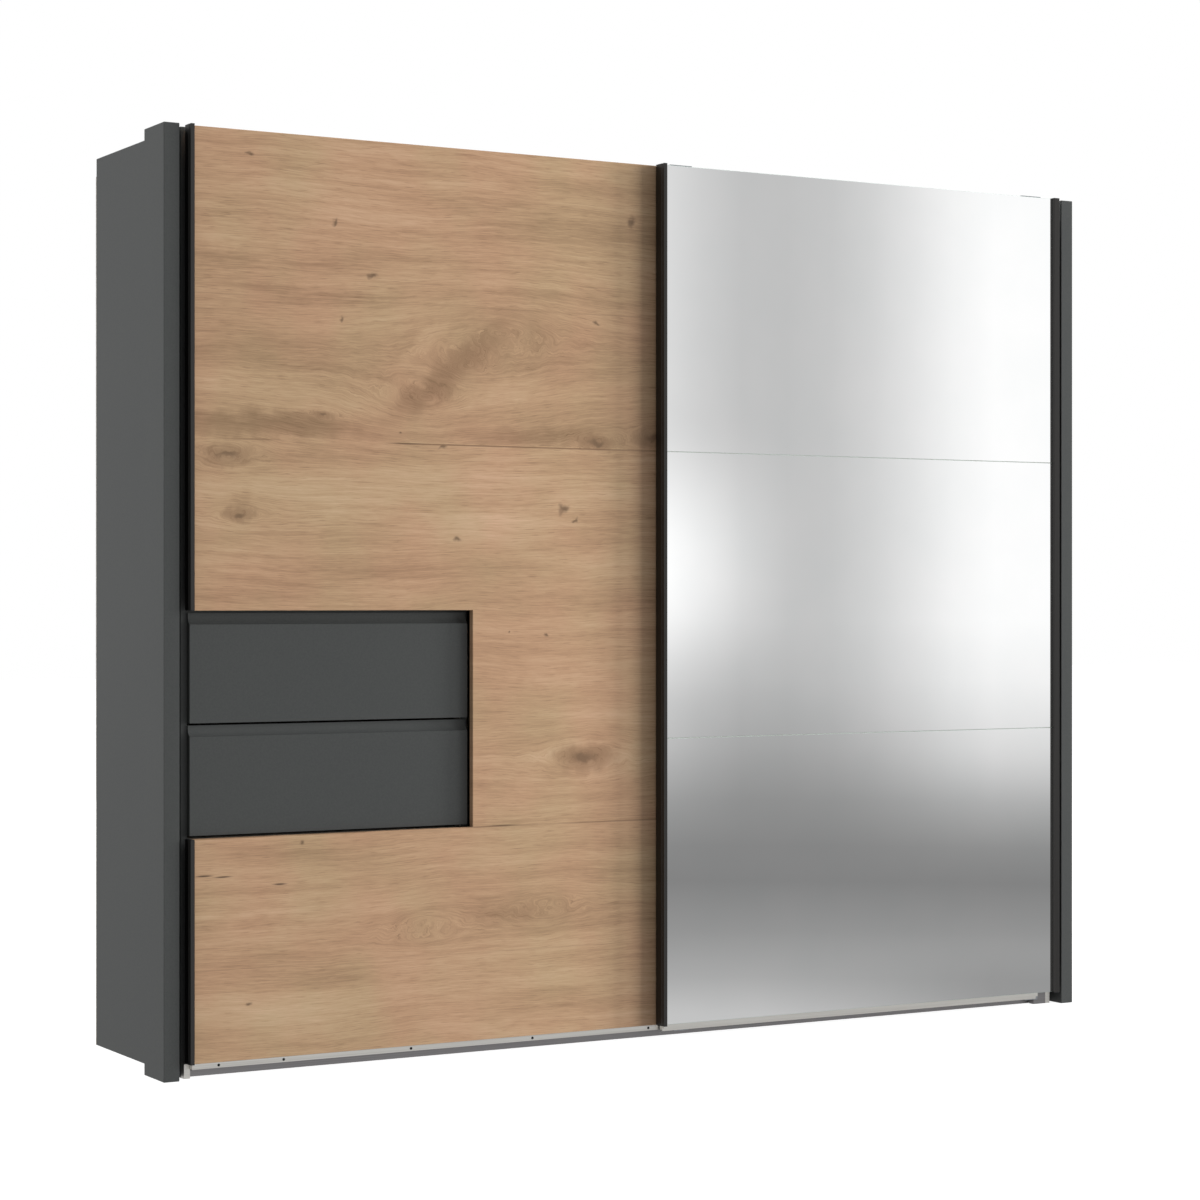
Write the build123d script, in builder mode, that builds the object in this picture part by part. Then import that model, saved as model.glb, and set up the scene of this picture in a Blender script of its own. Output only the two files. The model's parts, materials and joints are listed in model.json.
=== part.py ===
"""Sliding door wardrobe: a carcass with corner pilasters, two hanging doors and two drawers.

Frame: +X to the right seen from the front, +Y from the front to the back, +Z up.
The origin is on the floor, midway across the width and the depth. Millimetres.
"""
import os

from build123d import *

# overall sizes
width = 2500
height = 2080  # carcass, pilasters and door handles
depth = 616  # from the mirror door's handles to the back

# boards
board = 16
thin_board = 12
hardboard = 3
arris = 1  # broken edge on the boards that show

# planes from front to back
pilaster_front = -depth / 2 + 35
mirror_face = pilaster_front - 18
wood_face = pilaster_front + 6.5
drawer_face = pilaster_front + 26
carcass_front = pilaster_front + 43
carcass_back = depth / 2 - 4

# pilasters and carcass
pilaster_width = 36.5
pilaster_depth = 118
spacer_set_back = 60
spacer_depth = 58
side_inset = 55  # outer face of a side panel, in from the outer face of its pilaster
side_outer = width / 2 - side_inset
side_inner = side_outer - board
drawer_partition_left = -509
plinth_height = 60
plinth_set_back = 41
bottom_top = plinth_height + board
top_under = height - 58
top_over = top_under + board
hat_shelf_height = 1700
shelf_set_back = 20
shelf_gap = 1  # round a loose shelf

# drawers, with the case that holds them
drawer_left = -1180
drawer_right = -500
drawer_bottom = 529
front_height = 241
drawer_pitch = 246
grip_height = 25
grip_depth = 11
grip_bulge = (0.8, 0.62)  # middle of the grip's curve, as shares of its depth and height
drawer_case_bottom = drawer_bottom - 6
drawer_case_top = drawer_bottom + 2 * drawer_pitch - 9
drawer_box_depth = 470
drawer_box_height = 165
runner_gap = 13  # between a drawer box and the case, at each side
runner_length = 450
runner_height = 32
runner_sheet = 1.5
runner_lift = 20  # a runner's foot above the foot of its drawer front
runner_start = 5  # a runner's front end behind the carcass's front edges
box_lift = 14
bottom_lift = 6

# doors
door_width = 1195
wood_left = -1192
mirror_left = -8
door_top = height - 1.5
wood_bottom = 33.4
wood_strip_bottom = 21.4
mirror_bottom = 35.5
mirror_strip_bottom = 27
handle_bottom = 34
handle_proud = 17
wide_handle_proud = 9
handle_lip = 2  # rounding of a handle's front edges
slim_handle = 10
wide_handle = 18
glass = 4
pane_seam = 1.2
cut_out_right = -495.6
cut_out_bottom = 523.5
cut_out_top = 1021.5
strip_screw_pitch = 313
strip_screw_end = 30
strip_screw_near_handle = 62
strip_screw_head = 3.2
strip_screw_radius = 2
strip_screw_length = 10
mirror_lip_set_back = 8
mirror_lip_bottom = 19.6
mirror_strip_notch = 47  # left free at the right, over the rail's end stop

# running gear
rail_front = carcass_front + 2
rail_depth = 66
rail_sheet = 2
rib_height = 12
rib_thickness = 3
wood_track = pilaster_front + 60
mirror_track = pilaster_front + 96
wheel_width = 8
wheel_tread = 12.5
wheel_flange = 14.5
axle_radius = 2.5
axle_clearance = 0.05
rolling_gap = 0.2
track_top = top_over + rib_height
axle_height = track_top + rolling_gap + wheel_tread
carriage_length = 60
carriage_sheet = 3
carriage_drop = 68  # how far a carriage plate reaches down a door's back
carriage_end = 70  # from a door's end to the middle of its carriage
wood_arm_top = height - 3
mirror_arm_top = height + 1 + carriage_sheet  # the mirror door's arms pass over the wooden door
mirror_plate = 2  # the mirror door's plates are thin, to clear the wooden door
leg_gap = 1  # between a carriage's leg and its wheel
leg_lift = 2  # above the rail's ribs
axle_reach = 3  # past the wheel
axle_head = 1.5
axle_head_length = 1
groove_gap = 0.3  # between a wheel's tread and the sides of its rib
flange_slope = 0.7
guide_rail_height = 14
guide_rail_wall = 2
wood_guide_low = 24
mirror_guide_low = guide_rail_height + 1.5
mirror_channel = pilaster_front + 57
wood_channel = pilaster_front + 73
channel_width = 14
guide_length = 40
guide_plate_top = 75
slider_lift = 3  # a slider's foot above the floor
slider_gap = 1
bracket_depth = 19
bracket_height = 32
bracket_width = 14
stop_length = 38  # the right end's stop, beside its bracket
stop_slope = 13

# levelling feet
foot_radius = 18
foot_height = 8
stem_radius = 5
stem_clearance = 0.1
hexagon_radius = 3
hexagon_depth = 6
foot_places = [(-600, -140), (-600, 240), (600, -140), (600, 240)]

# fittings
cam_radius = 7.5
cam_depth = 12
cam_inset = 34  # from a panel's end
cam_edge = 60  # from the carcass's front and back
cam_slot = (8, 1.5)
cam_slot_depth = 2
pin_radius = 2.5
pin_length = 18
pin_edge = 80  # from the carcass's front and back
pin_hole_depth = 8
clothes_rail_width = 15
clothes_rail_height = 30
clothes_rail_drop = 60
clothes_rail_sheet = 1.2
clothes_rail_play = 2
socket_wall = 4
socket_depth = 10
joining_strip_width = 24
joining_strip_web = 1


def save(piece, name):
    """Label one finished piece and write it to its own file."""
    piece.part.label = name
    export_step(piece.part, f"parts/{name}.step")


def make_board(x, y, z, broken_edges=0, holes=()):
    """A flat board from three (low, high) pairs.

    Its edges are broken where it shows, and each hole is (mouth, direction, radius, depth).
    """
    with BuildPart() as piece:
        with BuildSketch(Plane.XY.offset(z[0])):
            with Locations(((x[0] + x[1]) / 2, (y[0] + y[1]) / 2)):
                Rectangle(x[1] - x[0], y[1] - y[0])
        extrude(amount=z[1] - z[0])
        if broken_edges:
            chamfer(piece.edges(), broken_edges)
        for mouth, into, radius, hole_depth in holes:
            with BuildSketch(Plane(origin=mouth, z_dir=into)):
                Circle(radius)
            extrude(amount=hole_depth, mode=Mode.SUBTRACT)
    return piece


def facing_plane(y):
    """A plane that faces the front at this depth, with its own y along the height."""
    return Plane.XZ.offset(-y)


# ---- carcass -------------------------------------------------------------


def shelf_pin_places(side_x, shelf_top):
    """The two pin holes that hold one end of a shelf."""
    under = shelf_top - board - pin_radius
    return [(side_x, carcass_front + pin_edge, under), (side_x, carcass_back - pin_edge, under)]


def pin_holes(side_x, into):
    """Blind holes for shelf pins in one face of an upright."""
    places = shelf_pin_places(side_x, hat_shelf_height + board)
    return [(place, into, pin_radius, pin_hole_depth) for place in places]


def make_uprights():
    """Side panels and partitions, drilled for the shelf pins."""
    y = (carcass_front, carcass_back)
    inner_z = (bottom_top, top_under)
    drawer_wall = (drawer_partition_left, drawer_partition_left + board)
    centre = (-board / 2, board / 2)
    to_left, to_right = (-1, 0, 0), (1, 0, 0)
    left_holes = pin_holes(-side_inner, to_left)
    right_holes = pin_holes(side_inner, to_right)
    save(make_board((-side_outer, -side_inner), y, (0, height), arris, left_holes), "side_panel_left")
    save(make_board((side_inner, side_outer), y, (0, height), arris, right_holes), "side_panel_right")
    save(make_board(drawer_wall, y, inner_z, 0, pin_holes(drawer_wall[0], to_right)), "drawer_partition")
    save(make_board(centre, y, inner_z, 0, pin_holes(centre[1], to_left)), "centre_partition")


def cam_places(side, z):
    """Cam locks near both ends of a top or bottom panel's half."""
    ends = (side * cam_inset, side * (side_inner - cam_inset))
    return [(x, y, z) for x in ends for y in (carcass_front + cam_edge, carcass_back - cam_edge)]


def make_top_and_bottom():
    """Two halves each, drilled for their cam locks and, below, for the levelling feet."""
    y = (carcass_front, carcass_back)
    up = (0, 0, 1)
    for side, name in ((-1, "left"), (1, "right")):
        x = sorted((0, side * side_inner))
        holes = [(place, up, cam_radius, cam_depth) for place in cam_places(side, top_under)]
        save(make_board(x, y, (top_under, top_over), 0, holes), f"top_panel_{name}")
        holes = [(place, up, cam_radius, cam_depth) for place in cam_places(side, plinth_height)]
        feet = [(foot_x, foot_y, plinth_height) for foot_x, foot_y in foot_places if foot_x * side > 0]
        holes += [(place, up, stem_radius + stem_clearance, board) for place in feet]
        save(make_board(x, y, (plinth_height, bottom_top), 0, holes), f"bottom_panel_{name}")


def make_cam_locks():
    """Quarter-turn locks that hold the top and bottom panels to the uprights."""
    with BuildPart() as locks:
        for z in (top_under, plinth_height):
            for side in (-1, 1):
                for place in cam_places(side, z):
                    with BuildSketch(Plane(origin=place)):
                        Circle(cam_radius)
                    extrude(amount=cam_depth)
                    with BuildSketch(Plane(origin=place)):
                        Rectangle(*cam_slot)
                    extrude(amount=cam_slot_depth, mode=Mode.SUBTRACT)
    save(locks, "cam_locks")


def make_back():
    """Two hardboard backs that meet in a T-shaped joining strip."""
    y = (carcass_back, carcass_back + hardboard)
    z = (0, top_over)
    web = joining_strip_web
    save(make_board((-side_outer, -web), y, z), "back_panel_left")
    save(make_board((web, side_outer), y, z), "back_panel_right")
    with BuildPart() as strip:
        with BuildSketch(Plane.XY):
            with Locations((0, carcass_back + hardboard / 2)):
                Rectangle(2 * web, hardboard)
            with Locations((0, carcass_back + hardboard + web / 2)):
                Rectangle(joining_strip_width, web)
        extrude(amount=top_over)
    save(strip, "back_joining_strip")


def make_pilasters():
    """Thick corner boards proud of the side panels, each on a spacer strip."""
    y = (pilaster_front, pilaster_front + pilaster_depth)
    inner = width / 2 - pilaster_width
    left = make_board((-width / 2, -inner), y, (0, height), arris)
    save(left, "pilaster_left")
    right = make_board((inner, width / 2), y, (0, height), arris)
    save(right, "pilaster_right")
    with BuildPart() as spacers:
        with BuildSketch(Plane.XY):
            middle = (inner + side_outer) / 2
            spacer_y = pilaster_front + spacer_set_back + spacer_depth / 2
            with Locations((-middle, spacer_y), (middle, spacer_y)):
                Rectangle(inner - side_outer, spacer_depth)
        extrude(amount=height)
    save(spacers, "pilaster_spacers")


def make_plinth():
    front = carcass_front + plinth_set_back
    save(make_board((-side_inner, side_inner), (front, front + board), (0, plinth_height)), "plinth")


def make_hat_shelves():
    y = (carcass_front + shelf_set_back, carcass_back - shelf_gap)
    z = (hat_shelf_height, hat_shelf_height + board)
    left = make_board((-side_inner + shelf_gap, drawer_partition_left - shelf_gap), y, z)
    save(left, "hat_shelf_left")
    right = make_board((board / 2 + shelf_gap, side_inner - shelf_gap), y, z)
    save(right, "hat_shelf_right")


def make_shelf_pins():
    """Round pins, half in an upright and half under a shelf."""
    ends = ((-side_inner, 1), (drawer_partition_left, -1), (board / 2, 1), (side_inner, -1))
    with BuildPart() as pins:
        for side_x, inward in ends:
            for place in shelf_pin_places(side_x - inward * pin_hole_depth, hat_shelf_height + board):
                with BuildSketch(Plane(origin=place, z_dir=(inward, 0, 0))):
                    Circle(pin_radius)
                extrude(amount=pin_length)
    save(pins, "shelf_pins")


def make_clothes_rails():
    """Oval rails in the two hanging bays, in round-bottomed sockets."""
    y = (carcass_front + carcass_back) / 2
    z = hat_shelf_height - clothes_rail_drop
    bays = ((drawer_partition_left + board, -board / 2), (board / 2, side_inner))
    with BuildPart() as rails:
        for low, high in bays:
            with BuildSketch(Plane.YZ.offset(low + clothes_rail_play)):
                with Locations((y, z)):
                    SlotOverall(clothes_rail_height, clothes_rail_width, rotation=90)
                offset(amount=-clothes_rail_sheet, mode=Mode.SUBTRACT)
            extrude(amount=high - low - 2 * clothes_rail_play)
    save(rails, "clothes_rails")
    socket = (clothes_rail_height + 2 * socket_wall, clothes_rail_width + 2 * socket_wall)
    with BuildPart() as sockets:
        for low, high in bays:
            for wall in (low, high - socket_depth):
                with BuildSketch(Plane.YZ.offset(wall)):
                    with Locations((y, z)):
                        SlotOverall(*socket, rotation=90)
                        SlotOverall(clothes_rail_height, clothes_rail_width, rotation=90, mode=Mode.SUBTRACT)
                extrude(amount=socket_depth)
    save(sockets, "rail_sockets")


# ---- running gear --------------------------------------------------------


def make_top_rail():
    """Aluminium double track on the top panels: a base, two ribs and two lips."""
    lip_height = 8
    with BuildPart() as rail:
        with BuildSketch(Plane.YZ.offset(-side_inner + 1)):
            with Locations((rail_front + rail_depth / 2, top_over + rail_sheet / 2)):
                Rectangle(rail_depth, rail_sheet)
            for y in (wood_track, mirror_track):
                with Locations((y, top_over + rib_height / 2)):
                    Rectangle(rib_thickness, rib_height)
            for y in (rail_front + rail_sheet / 2, rail_front + rail_depth - rail_sheet / 2):
                with Locations((y, top_over + lip_height / 2)):
                    Rectangle(rail_sheet, lip_height)
        extrude(amount=2 * (side_inner - 1))
    save(rail, "top_running_rail")


def make_guide_rail():
    """Aluminium double channel on the floor, in front of the plinth."""
    wall = guide_rail_wall
    front = mirror_channel - channel_width / 2 - wall
    back = wood_channel + channel_width / 2 + wall
    with BuildPart() as rail:
        with BuildSketch(Plane.YZ.offset(-side_inner)):
            with Locations(((front + back) / 2, guide_rail_height / 2)):
                Rectangle(back - front, guide_rail_height)
            for y in (mirror_channel, wood_channel):
                with Locations((y, guide_rail_height / 2 + wall)):
                    Rectangle(channel_width, guide_rail_height, mode=Mode.SUBTRACT)
        extrude(amount=2 * side_inner)
    save(rail, "bottom_guide_rail")


def make_rail_end_brackets():
    """Brackets on the side panels' front edges; the right one has a sloped stop beside it."""
    inner = side_inner + 1
    outer = inner + bracket_width
    foot = inner - stop_length
    with BuildPart() as brackets:
        with BuildSketch(facing_plane(carcass_front)):
            with Locations((-(inner + outer) / 2, bracket_height / 2)):
                Rectangle(bracket_width, bracket_height)
            with BuildLine():
                Polyline(
                    (foot, 0),
                    (outer, 0),
                    (outer, bracket_height),
                    (foot + stop_slope, bracket_height),
                    (foot, guide_rail_height),
                    close=True,
                )
            make_face()
        extrude(amount=bracket_depth)
    save(brackets, "rail_end_brackets")


def make_carriages(door, door_left, door_back, track, plate, arm_top):
    """Bent plates that hang a door: down its back, over to the track and down to an axle."""
    leg_back = track - wheel_width / 2 - leg_gap
    leg = (leg_back - carriage_sheet, leg_back)
    foot = door_top - carriage_drop
    with BuildPart() as carriages:
        for middle in (door_left + carriage_end, door_left + door_width - carriage_end):
            with BuildSketch(Plane.YZ.offset(middle - carriage_length / 2)):
                with BuildLine():
                    Polyline(
                        (door_back, foot),
                        (door_back, arm_top),
                        (leg[1], arm_top),
                        (leg[1], track_top + leg_lift),
                        (leg[0], track_top + leg_lift),
                        (leg[0], arm_top - carriage_sheet),
                        (door_back + plate, arm_top - carriage_sheet),
                        (door_back + plate, foot),
                        close=True,
                    )
                make_face()
            extrude(amount=carriage_length)
            with BuildSketch(facing_plane(leg[1])):
                with Locations((middle, axle_height)):
                    Circle(axle_radius)
            extrude(amount=-(wheel_width + axle_reach))
            with BuildSketch(facing_plane(track + wheel_width / 2 + leg_gap)):
                with Locations((middle, axle_height)):
                    Circle(axle_radius + axle_head)
            extrude(amount=-axle_head_length)
    save(carriages, f"{door}_carriages")


def make_wheel(name, middle, track):
    """A grooved wheel that runs on a rib of the top rail."""
    tread_side = rib_thickness / 2 + groove_gap
    flange_side = tread_side + flange_slope
    with BuildPart() as wheel:
        with BuildSketch(Plane.XY):
            with BuildLine():
                Polyline(
                    (axle_radius + axle_clearance, -wheel_width / 2),
                    (wheel_flange, -wheel_width / 2),
                    (wheel_flange, -flange_side),
                    (wheel_tread, -tread_side),
                    (wheel_tread, tread_side),
                    (wheel_flange, flange_side),
                    (wheel_flange, wheel_width / 2),
                    (axle_radius + axle_clearance, wheel_width / 2),
                    close=True,
                )
            make_face()
        revolve(axis=Axis.Y)
    wheel.part = Pos(middle, track, axle_height) * wheel.part
    save(wheel, name)


def make_guides(door, door_left, door_back, channel, plate, arm_low):
    """Angle plates at a door's foot, each with a slider in its channel of the guide rail."""
    slider = (channel - channel_width / 2 + slider_gap, channel + channel_width / 2 - slider_gap)
    with BuildPart() as guides:
        for middle in (door_left + carriage_end, door_left + door_width - carriage_end):
            with BuildSketch(Plane.YZ.offset(middle - guide_length / 2)):
                with BuildLine():
                    Polyline(
                        (door_back, guide_plate_top),
                        (door_back + plate, guide_plate_top),
                        (door_back + plate, arm_low + carriage_sheet),
                        (slider[1], arm_low + carriage_sheet),
                        (slider[1], slider_lift),
                        (slider[0], slider_lift),
                        (slider[0], arm_low),
                        (door_back, arm_low),
                        close=True,
                    )
                make_face()
            extrude(amount=guide_length)
    save(guides, f"{door}_guides")


# ---- doors ---------------------------------------------------------------


def make_handle(name, x, face, back, spans, proud=handle_proud):
    """A handle bar on a door's edge, proud of its face, in one length for each span."""
    with BuildPart() as handle:
        for low, high in spans:
            with BuildSketch(Plane.XY.offset(low)):
                with Locations(((x[0] + x[1]) / 2, (face - proud + back) / 2)):
                    Rectangle(x[1] - x[0], back - face + proud)
            extrude(amount=high - low)
        fillet(handle.edges().filter_by(Axis.Z).group_by(Axis.Y)[0], handle_lip)
    save(handle, name)


def strip_screw_places():
    """Screws along the wooden door's bottom strip: one near the handle, the rest evenly spaced."""
    right = wood_left + door_width - strip_screw_end
    evenly = [right - n * strip_screw_pitch for n in range(4)]
    return [wood_left + slim_handle + strip_screw_near_handle] + evenly


def make_wood_door():
    """The plank-faced door, with a cut-out on its handle side for the drawers."""
    board_left = wood_left + slim_handle
    board_right = wood_left + door_width
    back = wood_face + board
    with BuildPart() as panel:
        with BuildSketch(facing_plane(back)):
            with Locations(((board_left + board_right) / 2, (wood_bottom + door_top) / 2)):
                Rectangle(board_right - board_left, door_top - wood_bottom)
            with Locations(((board_left + cut_out_right) / 2, (cut_out_bottom + cut_out_top) / 2)):
                Rectangle(cut_out_right - board_left, cut_out_top - cut_out_bottom, mode=Mode.SUBTRACT)
        extrude(amount=board)
        chamfer(panel.edges().filter_by(Axis.Y, reverse=True), arris / 2)
    save(panel, "wood_door_panel")
    spans = ((handle_bottom, cut_out_bottom), (cut_out_top, height))
    make_handle("wood_door_handles", (wood_left, board_left), wood_face, back, spans)

    screw_z = (wood_strip_bottom + wood_bottom) / 2
    places = [(place, screw_z) for place in strip_screw_places()]
    holes = [((x, wood_face, z), (0, 1, 0), strip_screw_radius, strip_screw_length) for x, z in places]
    strip_z = (wood_strip_bottom, wood_bottom)
    strip = make_board((board_left, board_right), (wood_face, back), strip_z, 0, holes)
    save(strip, "wood_door_bottom_strip")
    with BuildPart() as screws:
        with BuildSketch(facing_plane(wood_face - 1)):
            with Locations(*places):
                Circle(strip_screw_head)
        extrude(amount=-1)
        with BuildSketch(facing_plane(wood_face)):
            with Locations(*places):
                Circle(strip_screw_radius)
        extrude(amount=1 - strip_screw_length)
    save(screws, "wood_door_strip_screws")


def make_mirror_door():
    """A backing board with three mirror panes between two handle bars."""
    left = mirror_left + slim_handle
    right = mirror_left + door_width - wide_handle
    board_face = mirror_face + glass
    back = board_face + board
    save(make_board((left, right), (board_face, back), (mirror_bottom, door_top)), "mirror_door_board")

    pane_height = (door_top - mirror_bottom - 2 * pane_seam) / 3
    for row, name in enumerate(("bottom", "middle", "top")):
        low = mirror_bottom + row * (pane_height + pane_seam)
        pane = make_board((left, right), (mirror_face, board_face), (low, low + pane_height), 0.5)
        save(pane, f"mirror_pane_{name}")

    span = ((handle_bottom, height),)
    make_handle("mirror_door_handle_left", (mirror_left, left), mirror_face, back, span)
    outer = (right, mirror_left + door_width)
    make_handle("mirror_door_handle_right", outer, mirror_face, back, span, wide_handle_proud)
    lip_face = mirror_face + mirror_lip_set_back
    with BuildPart() as strip:
        with BuildSketch(Plane.YZ.offset(left)):
            with BuildLine():
                Polyline(
                    (mirror_face, mirror_bottom),
                    (mirror_face, mirror_strip_bottom),
                    (lip_face, mirror_strip_bottom),
                    (lip_face, mirror_lip_bottom),
                    (back, mirror_lip_bottom),
                    (back, mirror_bottom),
                    close=True,
                )
            make_face()
        extrude(amount=right - left - mirror_strip_notch)
    save(strip, "mirror_door_bottom_strip")


# ---- drawers -------------------------------------------------------------


def make_drawer_case():
    """Fixed boards above and below the drawers, and the runners' fixed halves."""
    x = (-side_inner, drawer_partition_left)
    y = (carcass_front, carcass_back)
    save(make_board(x, y, (drawer_case_top, drawer_case_top + board)), "drawer_case_top")
    save(make_board(x, y, (drawer_case_bottom - board, drawer_case_bottom)), "drawer_case_bottom")
    with BuildPart() as runners:
        for row in range(2):
            low = drawer_bottom + row * drawer_pitch + runner_lift
            for wall, inward in ((-side_inner, 1), (drawer_partition_left, -1)):
                with BuildSketch(facing_plane(carcass_front + runner_start)):
                    add_channel(wall, inward, low)
                extrude(amount=-runner_length)
    save(runners, "case_runners")


def add_channel(wall, inward, low):
    """A C-shaped runner section that stands on a wall, drawn in the current sketch."""
    reach = runner_gap / 2 - 0.5
    with Locations((wall + inward * runner_sheet / 2, low + runner_height / 2)):
        Rectangle(runner_sheet, runner_height)
    for z in (low + runner_sheet / 2, low + runner_height - runner_sheet / 2):
        with Locations((wall + inward * reach / 2, z)):
            Rectangle(reach, runner_sheet)


def make_drawer(row, name):
    """A front with a grip along its top, a box of thin boards and its halves of the runners."""
    low = drawer_bottom + row * drawer_pitch
    top = low + front_height
    front_back = drawer_face + board
    with BuildPart() as front:
        with BuildSketch(Plane.YZ.offset(drawer_left)):
            with BuildLine():
                Line((drawer_face, low), (front_back, low))
                Line((front_back, low), (front_back, top))
                Line((front_back, top), (drawer_face + grip_depth, top))
                ThreePointArc(
                    (drawer_face + grip_depth, top),
                    (drawer_face + grip_depth * grip_bulge[0], top - grip_height * grip_bulge[1]),
                    (drawer_face, top - grip_height),
                )
                Line((drawer_face, top - grip_height), (drawer_face, low))
            make_face()
        extrude(amount=drawer_right - drawer_left)
    save(front, f"{name}_drawer_front")

    box = (-side_inner + runner_gap, drawer_partition_left - runner_gap)
    box_back = front_back + drawer_box_depth
    z = (low + box_lift, low + box_lift + drawer_box_height)
    with BuildPart() as sides:
        with BuildSketch(Plane.XY.offset(z[0])):
            middle_y = (front_back + box_back) / 2
            with Locations((box[0] + thin_board / 2, middle_y), (box[1] - thin_board / 2, middle_y)):
                Rectangle(thin_board, drawer_box_depth)
        extrude(amount=drawer_box_height)
    save(sides, f"{name}_drawer_sides")
    inside = (box[0] + thin_board, box[1] - thin_board)
    save(make_board(inside, (box_back - thin_board, box_back), z), f"{name}_drawer_back")
    bottom_z = (z[0] + bottom_lift, z[0] + bottom_lift + hardboard)
    bottom = make_board(inside, (front_back, box_back - thin_board), bottom_z)
    save(bottom, f"{name}_drawer_bottom")
    with BuildPart() as runners:
        for wall, outward in ((box[0], -1), (box[1], 1)):
            with BuildSketch(facing_plane(carcass_front + runner_start)):
                add_channel(wall, outward, low + runner_lift)
            extrude(amount=-runner_length)
    save(runners, f"{name}_drawer_runners")


# ---- feet ----------------------------------------------------------------


def make_feet():
    """Levelling feet that turn in the bottom panels, with a hexagon socket in each stem."""
    for number, (x, y) in enumerate(foot_places, start=1):
        with BuildPart() as foot:
            with BuildSketch(Plane.XY):
                with Locations((x, y)):
                    Circle(foot_radius)
            extrude(amount=foot_height)
            chamfer(foot.edges().filter_by(GeomType.CIRCLE).group_by(Axis.Z)[-1], 2)
            with BuildSketch(Plane.XY.offset(foot_height)):
                with Locations((x, y)):
                    Circle(stem_radius)
            extrude(amount=bottom_top - foot_height - 2)
            with BuildSketch(Plane.XY.offset(bottom_top - 2)):
                with Locations((x, y)):
                    RegularPolygon(hexagon_radius, 6)
            extrude(amount=-hexagon_depth, mode=Mode.SUBTRACT)
        save(foot, f"levelling_foot_{number}")


def main():
    os.makedirs("parts", exist_ok=True)
    make_uprights()
    make_top_and_bottom()
    make_cam_locks()
    make_back()
    make_pilasters()
    make_plinth()
    make_hat_shelves()
    make_shelf_pins()
    make_clothes_rails()
    make_top_rail()
    make_guide_rail()
    make_rail_end_brackets()
    make_wood_door()
    make_mirror_door()
    wood = ("wood_door", wood_left, wood_face + board)
    mirror = ("mirror_door", mirror_left, mirror_face + glass + board)
    make_carriages(*wood, wood_track, carriage_sheet, wood_arm_top)
    make_carriages(*mirror, mirror_track, mirror_plate, mirror_arm_top)
    make_guides(*wood, wood_channel, carriage_sheet, wood_guide_low)
    make_guides(*mirror, mirror_channel, mirror_plate, mirror_guide_low)
    for door, door_left, track in (("wood", wood_left, wood_track), ("mirror", mirror_left, mirror_track)):
        make_wheel(f"{door}_door_wheel_left", door_left + carriage_end, track)
        make_wheel(f"{door}_door_wheel_right", door_left + door_width - carriage_end, track)
    make_drawer_case()
    make_drawer(1, "upper")
    make_drawer(0, "lower")
    make_feet()


main()
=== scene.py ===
import json
import math

import bmesh
import bpy
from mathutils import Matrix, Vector


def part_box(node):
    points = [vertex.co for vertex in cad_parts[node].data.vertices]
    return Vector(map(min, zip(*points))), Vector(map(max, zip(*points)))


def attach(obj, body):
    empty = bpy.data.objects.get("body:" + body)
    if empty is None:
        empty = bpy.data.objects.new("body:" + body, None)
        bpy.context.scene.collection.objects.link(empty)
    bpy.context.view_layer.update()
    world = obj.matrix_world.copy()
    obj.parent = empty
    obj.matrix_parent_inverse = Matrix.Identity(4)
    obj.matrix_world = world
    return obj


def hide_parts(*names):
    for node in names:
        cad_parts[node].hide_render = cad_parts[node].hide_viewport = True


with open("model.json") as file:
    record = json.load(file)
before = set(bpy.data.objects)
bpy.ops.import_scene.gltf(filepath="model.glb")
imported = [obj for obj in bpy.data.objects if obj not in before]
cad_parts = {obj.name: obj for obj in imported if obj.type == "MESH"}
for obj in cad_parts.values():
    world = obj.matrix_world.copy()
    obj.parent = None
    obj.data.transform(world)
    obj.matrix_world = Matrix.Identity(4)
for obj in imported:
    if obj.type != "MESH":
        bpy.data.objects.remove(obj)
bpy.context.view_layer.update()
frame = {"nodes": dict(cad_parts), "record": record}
cadNodes = frame["nodes"]
mm = 0.001
print("wardrobe: frame loaded,", len(cadNodes), "CAD pieces")


def linear(hexColour):
    channels = [int(hexColour[i:i + 2], 16) / 255 for i in (1, 3, 5)]
    return (*[c / 12.92 if c <= 0.04045 else ((c + 0.055) / 1.055) ** 2.4 for c in channels], 1.0)


def addNode(tree, kind, inputs=None, stops=None, **settings):
    node = tree.nodes.new(kind)
    for name, value in settings.items():
        setattr(node, name, value)
    for name, value in (inputs or {}).items():
        if isinstance(value, bpy.types.NodeSocket):
            tree.links.new(value, node.inputs[name])
        else:
            node.inputs[name].default_value = value
    if stops:  # a colour ramp's stops, each (place, colour)
        elements = node.color_ramp.elements
        while len(elements) < len(stops):
            elements.new(1.0)
        for element, (place, colour) in zip(elements, stops):
            element.position = place
            element.color = colour
    return node


def calculate(tree, operation, *values):
    return addNode(tree, "ShaderNodeMath", dict(enumerate(values)), operation=operation).outputs[0]


def vectorMath(tree, operation, *values):
    return addNode(tree, "ShaderNodeVectorMath", dict(enumerate(values)), operation=operation).outputs[0]


def noise(tree, position, scale, detail, roughness=0.5):
    inputs = {"Vector": position, "Scale": scale, "Detail": detail, "Roughness": roughness}
    return addNode(tree, "ShaderNodeTexNoise", inputs).outputs[0]


def smooth(tree, value, low, high, most=1.0):
    # from 0 at low to most at high, with soft ends
    return addNode(tree, "ShaderNodeMapRange", {0: value, 1: low, 2: high, 4: most},
                   interpolation_type="SMOOTHSTEP").outputs[0]


def mixColours(tree, amount, first, second, blend="MIX"):
    return addNode(tree, "ShaderNodeMix", {0: amount, 6: first, 7: second},
                   data_type="RGBA", blend_type=blend).outputs[2]


def colourRamp(tree, value, places, codes):
    stops = [(place, linear(code)) for place, code in zip(places, codes)]
    return addNode(tree, "ShaderNodeValToRGB", {0: value}, stops).outputs[0]


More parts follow.
